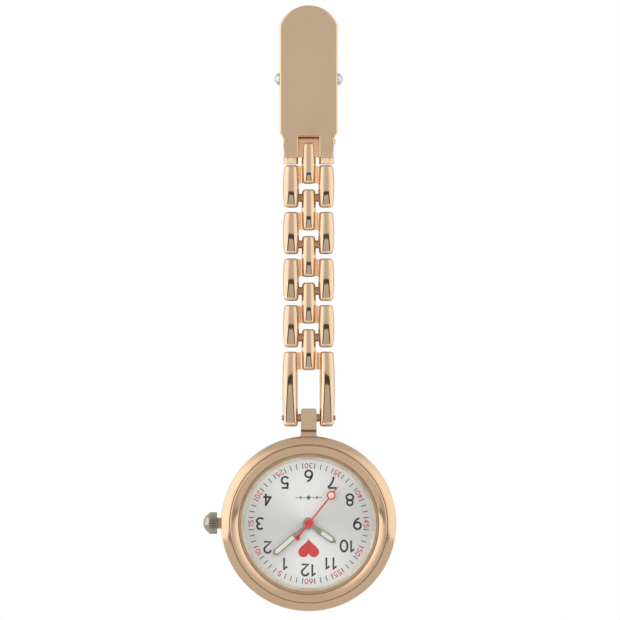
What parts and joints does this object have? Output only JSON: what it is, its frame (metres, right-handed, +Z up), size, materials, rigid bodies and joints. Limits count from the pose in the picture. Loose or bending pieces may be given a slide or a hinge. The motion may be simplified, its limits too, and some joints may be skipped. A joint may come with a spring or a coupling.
{
  "type": "fob watch",
  "caption": "Nurse's fob watch: a spring clip, a chain of hinged links, a shackle and a round quartz watch head that hangs upside down.",
  "frame": {"origin": "middle of the clip's grip line, on the back face of the clip plate, where the jaw bites", "axes": "+Z up the hanging watch towards the clip's round end, -Y out of the dial towards the viewer, +X to the viewer's right"},
  "size_m": [0.0309, 0.0087, 0.0968],
  "materials": {
    "rose_gold": "polished rose-gold plating",
    "flange_metal": "satin champagne plating",
    "steel": "polished nickel-plated steel",
    "spring_steel": "drawn spring wire",
    "mineral_glass": "clear flat mineral glass",
    "white_nylon": "moulded nylon",
    "seal_rubber": "moulded rubber",
    "dial_face": "sunray-brushed silver lacquer with printed markings",
    "hand_metal": "polished champagne steel",
    "lume": "pale luminous filling",
    "red_lacquer": "gloss red lacquer",
    "brass": "fine-grained brass",
    "train_plastic": "moulded acetal",
    "magnet": "sintered magnet",
    "soft_iron": "annealed soft iron",
    "copper_wire": "enamelled copper wire",
    "circuit_green": "coated circuit board",
    "chip_resin": "black potting resin",
    "cell_steel": "nickel-plated steel"
  },
  "bodies": {
    "clip": {"clip_plate": "rose_gold", "clip_axle": "steel", "clip_spring": "spring_steel", "clip_pin": "rose_gold"},
    "lever": {"clip_lever": "rose_gold"},
    "link_1": {"link_1": "rose_gold", "link_pin_1": "rose_gold"},
    "link_2": {"link_2": "rose_gold", "link_pin_2": "rose_gold"},
    "link_3": {"link_3": "rose_gold", "link_pin_3": "rose_gold"},
    "link_4": {"link_4": "rose_gold", "link_pin_4": "rose_gold"},
    "shackle": {"shackle": "rose_gold", "bow_pin": "rose_gold"},
    "head": {"case_body": "rose_gold", "bezel": "rose_gold", "crystal": "mineral_glass", "crystal_gasket": "white_nylon", "dial_ring": "flange_metal", "dial": "dial_face", "case_back": "steel", "back_gasket": "seal_rubber", "crown_tube": "steel", "movement_holder": "white_nylon", "main_plate": "brass", "train_bridge": "brass", "yoke": "steel", "coil": "copper_wire", "coil_core": "soft_iron", "stator": "soft_iron", "circuit_board": "circuit_green", "chip": "chip_resin", "quartz_can": "steel", "battery": "cell_steel", "battery_clamp": "steel", "movement_screws": "steel"},
    "clutch": {"clutch": "steel"},
    "stem": {"stem": "steel", "crown": "steel", "crown_gasket": "seal_rubber"},
    "setting_lever": {"setting_lever": "steel"},
    "seconds": {"second_hand": "red_lacquer", "second_hand_lume": "lume", "second_wheel": "brass"},
    "minutes": {"minute_hand": "hand_metal", "minute_hand_lume": "lume", "centre_wheel": "brass"},
    "hours": {"hour_hand": "hand_metal", "hour_hand_lume": "lume", "hour_wheel": "brass"},
    "third": {"third_wheel": "brass"},
    "intermediate": {"intermediate_wheel": "train_plastic"},
    "rotor": {"rotor": "magnet"},
    "minute_wheel": {"minute_wheel": "brass"},
    "setting_wheel": {"setting_wheel": "brass"}
  },
  "joints": [
    {"name": "lever_pivot", "type": "hinge", "parent": "clip", "child": "lever", "pos_m": [0, 0.0008, 0.0076], "axis": [1, 0, 0], "range_deg": [0, 16], "stiffness_Nm_per_rad": 0.25, "springref_deg": -11.46, "deforming": ["clip_spring"]},
    {"name": "clip_pin_hinge", "type": "hinge", "parent": "clip", "child": "link_1", "pos_m": [0, -0.0012, -0.0025], "axis": [1, 0, 0], "range_deg": [-35, 35]},
    {"name": "link_hinge_1", "type": "hinge", "parent": "link_1", "child": "link_2", "pos_m": [0, -0.0012, -0.01145], "axis": [1, 0, 0], "range_deg": [-35, 35]},
    {"name": "link_hinge_2", "type": "hinge", "parent": "link_2", "child": "link_3", "pos_m": [0, -0.0012, -0.0189], "axis": [1, 0, 0], "range_deg": [-35, 35]},
    {"name": "link_hinge_3", "type": "hinge", "parent": "link_3", "child": "link_4", "pos_m": [0, -0.0012, -0.02635], "axis": [1, 0, 0], "range_deg": [-35, 35]},
    {"name": "link_hinge_4", "type": "hinge", "parent": "link_4", "child": "shackle", "pos_m": [0, -0.0012, -0.0338], "axis": [1, 0, 0], "range_deg": [-35, 35]},
    {"name": "bow_hinge", "type": "hinge", "parent": "shackle", "child": "head", "pos_m": [0, -0.0012, -0.04665], "axis": [1, 0, 0], "range_deg": [-35, 35]},
    {"name": "crown_turn", "type": "hinge", "parent": "head", "child": "clutch", "pos_m": [-0.006, 0.00035, -0.06355], "axis": [1, 0, 0], "continuous": true},
    {"name": "crown_pull", "type": "slide", "parent": "clutch", "child": "stem", "axis": [-1, 0, 0], "range_m": [0, 0.001]},
    {"name": "setting_lever_swing", "type": "hinge", "parent": "head", "child": "setting_lever", "pos_m": [-0.00805, -0.0012, -0.06165], "axis": [0, 1, 0], "range_deg": [0, 29.7]},
    {"name": "second_turn", "type": "hinge", "parent": "head", "child": "seconds", "pos_m": [0, -0.0012, -0.06355], "axis": [0, 1, 0], "continuous": true},
    {"name": "minute_turn", "type": "hinge", "parent": "head", "child": "minutes", "pos_m": [0, -0.0012, -0.06355], "axis": [0, 1, 0], "continuous": true},
    {"name": "hour_turn", "type": "hinge", "parent": "head", "child": "hours", "pos_m": [0, -0.0012, -0.06355], "axis": [0, 1, 0], "continuous": true},
    {"name": "third_turn", "type": "hinge", "parent": "head", "child": "third", "pos_m": [-0.00021, -0.0012, -0.06116], "axis": [0, 1, 0], "continuous": true},
    {"name": "intermediate_turn", "type": "hinge", "parent": "head", "child": "intermediate", "pos_m": [-0.0023, -0.0012, -0.06439], "axis": [0, 1, 0], "continuous": true},
    {"name": "rotor_turn", "type": "hinge", "parent": "head", "child": "rotor", "pos_m": [-0.00297, -0.0012, -0.06623], "axis": [0, 1, 0], "continuous": true},
    {"name": "minute_wheel_turn", "type": "hinge", "parent": "head", "child": "minute_wheel", "pos_m": [-0.00167, -0.0012, -0.06527], "axis": [0, 1, 0], "continuous": true},
    {"name": "setting_wheel_turn", "type": "hinge", "parent": "head", "child": "setting_wheel", "pos_m": [-0.00375, -0.0012, -0.06355], "axis": [0, 1, 0], "continuous": true}
  ],
  "couplings": [
    {"joint": "intermediate_turn", "follows": "second_turn", "ratio": -5},
    {"joint": "rotor_turn", "follows": "second_turn", "ratio": 30},
    {"joint": "third_turn", "follows": "second_turn", "ratio": -0.13333},
    {"joint": "minute_turn", "follows": "second_turn", "ratio": 0.016667},
    {"joint": "minute_wheel_turn", "follows": "second_turn", "ratio": -0.0055556},
    {"joint": "setting_wheel_turn", "follows": "second_turn", "ratio": 0.011111},
    {"joint": "hour_turn", "follows": "second_turn", "ratio": 0.0013889},
    {"joint": "setting_lever_swing", "follows": "crown_pull", "rad_per_m": 514.64}
  ]
}
